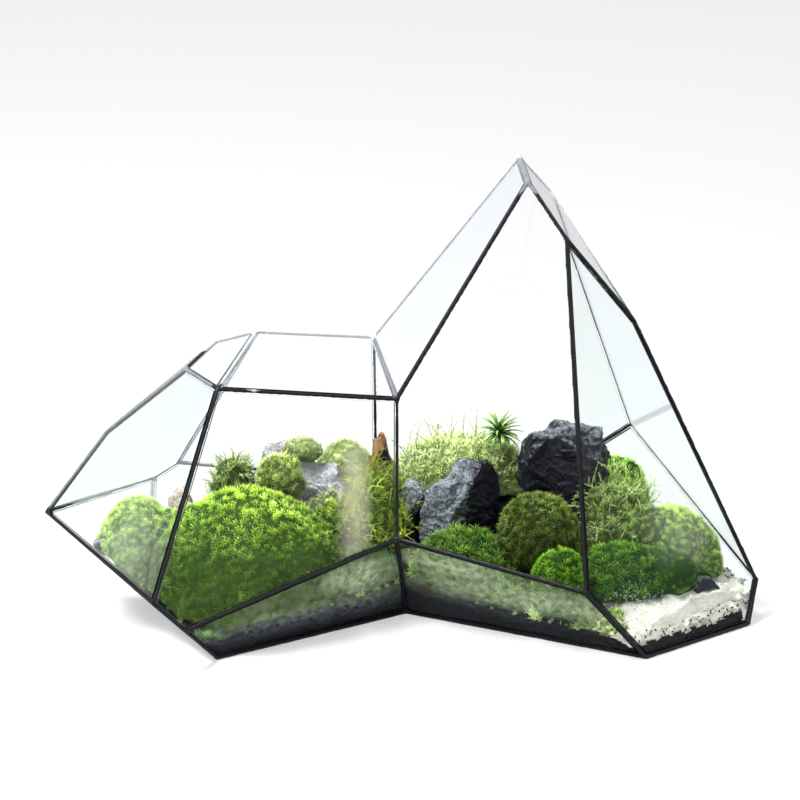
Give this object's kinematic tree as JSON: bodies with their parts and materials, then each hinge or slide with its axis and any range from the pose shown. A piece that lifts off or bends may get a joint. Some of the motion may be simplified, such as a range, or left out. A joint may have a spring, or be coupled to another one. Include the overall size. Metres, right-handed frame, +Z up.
{
  "type": "planted glass terrarium",
  "caption": "Faceted glass terrarium of two joined volumes with dark metal seams, planted with mosses, rocks, driftwood and sand; rests on its flat floor.",
  "frame": {"origin": "under the middle of the bounding box, on the surface that the terrarium stands on", "axes": "+X to the right along the length, -Y out of the front with the open face, +Z up"},
  "size_m": [0.3901, 0.1892, 0.2476],
  "materials": {
    "glass": "clear, polished",
    "seam": "solder with a dark patina, semi-gloss",
    "soil": "black soil and fine gravel, matte",
    "sand": "pale sand, matte",
    "slate": "cleft dark slate, matte",
    "grey_rock": "rough grey rock, matte",
    "pink_stone": "rough pinkish stone, matte",
    "driftwood": "weathered wood, matte",
    "bright_moss": "bright green moss, matte",
    "pale_moss": "pale yellow-green moss, matte",
    "deep_moss": "deep green moss, matte",
    "olive_moss": "olive green moss, matte",
    "star_moss": "green leaves, satin"
  },
  "bodies": {
    "root": {"glass_right_inner_roof": "glass", "glass_right_outer_roof": "glass", "glass_right_side": "glass", "glass_right_lower_front": "glass", "glass_right_back": "glass", "glass_right_back_side": "glass", "glass_right_lower_back": "glass", "glass_right_lower_side": "glass", "glass_right_floor": "glass", "glass_left_roof": "glass", "glass_left_eave": "glass", "glass_left_brow": "glass", "glass_left_front": "glass", "glass_left_side": "glass", "glass_left_lower_front": "glass", "glass_left_keel": "glass", "glass_left_lower_side": "glass", "glass_left_back_side": "glass", "glass_left_back": "glass", "glass_left_lower_back": "glass", "glass_left_floor": "glass", "seam_net": "seam", "soil_bed": "soil", "sand_drift": "sand", "rock_slate_right": "slate", "rock_slate_left": "slate", "rock_slate_small": "slate", "rock_grey_left": "grey_rock", "stone_pink": "pink_stone", "stone_far_left": "slate", "stone_right": "slate", "driftwood": "driftwood", "moss_mound_left": "bright_moss", "moss_dome_far_left": "pale_moss", "moss_ball_left": "bright_moss", "moss_back_left": "pale_moss", "moss_low_waist": "deep_moss", "moss_ball_olive": "olive_moss", "moss_dome_front": "bright_moss", "moss_ball_back_right": "deep_moss", "moss_dome_right": "bright_moss", "moss_front_right": "bright_moss", "moss_hill_back": "pale_moss", "moss_grass_centre": "deep_moss", "moss_tuft_back_left": "deep_moss", "moss_crumb_left": "bright_moss", "strand_moss_left": "pale_moss", "strand_moss_waist": "bright_moss", "strand_moss_right": "pale_moss", "star_moss": "star_moss"}
  },
  "joints": []
}
